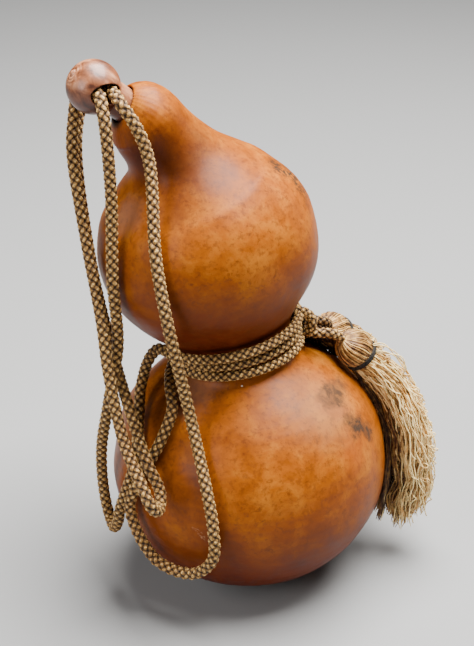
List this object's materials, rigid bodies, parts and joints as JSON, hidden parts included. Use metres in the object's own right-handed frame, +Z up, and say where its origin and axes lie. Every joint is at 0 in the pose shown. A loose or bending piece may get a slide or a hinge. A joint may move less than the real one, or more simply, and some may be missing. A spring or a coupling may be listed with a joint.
{
  "type": "dried bottle gourd",
  "caption": "Dried two-lobed bottle gourd flask with a leaning neck, turned wooden stopper, and a braided cord wound round its waist, looped through the stopper and ending in tassels",
  "frame": {"origin": "the middle of the small flat spot under the lower lobe that the gourd rests on", "axes": "+Z up, +X to the right as seen in the picture, towards the tassels, and +Y away from the viewer"},
  "size_m": [0.1578, 0.1281, 0.2416],
  "materials": {
    "gourd_skin": "waxed, semi-gloss",
    "turned_wood": "satin",
    "braided_cord": "braided, matt",
    "tassel_yarn": "loose yarn, slight sheen",
    "dark_thread": "matt"
  },
  "bodies": {
    "root": {"gourd": "gourd_skin", "stopper": "turned_wood", "cord_loops": "braided_cord", "waist_winding": "braided_cord", "knot": "braided_cord", "tassel_front": "tassel_yarn", "tassel_back": "tassel_yarn", "binding_front": "dark_thread", "binding_back": "dark_thread"}
  },
  "joints": []
}
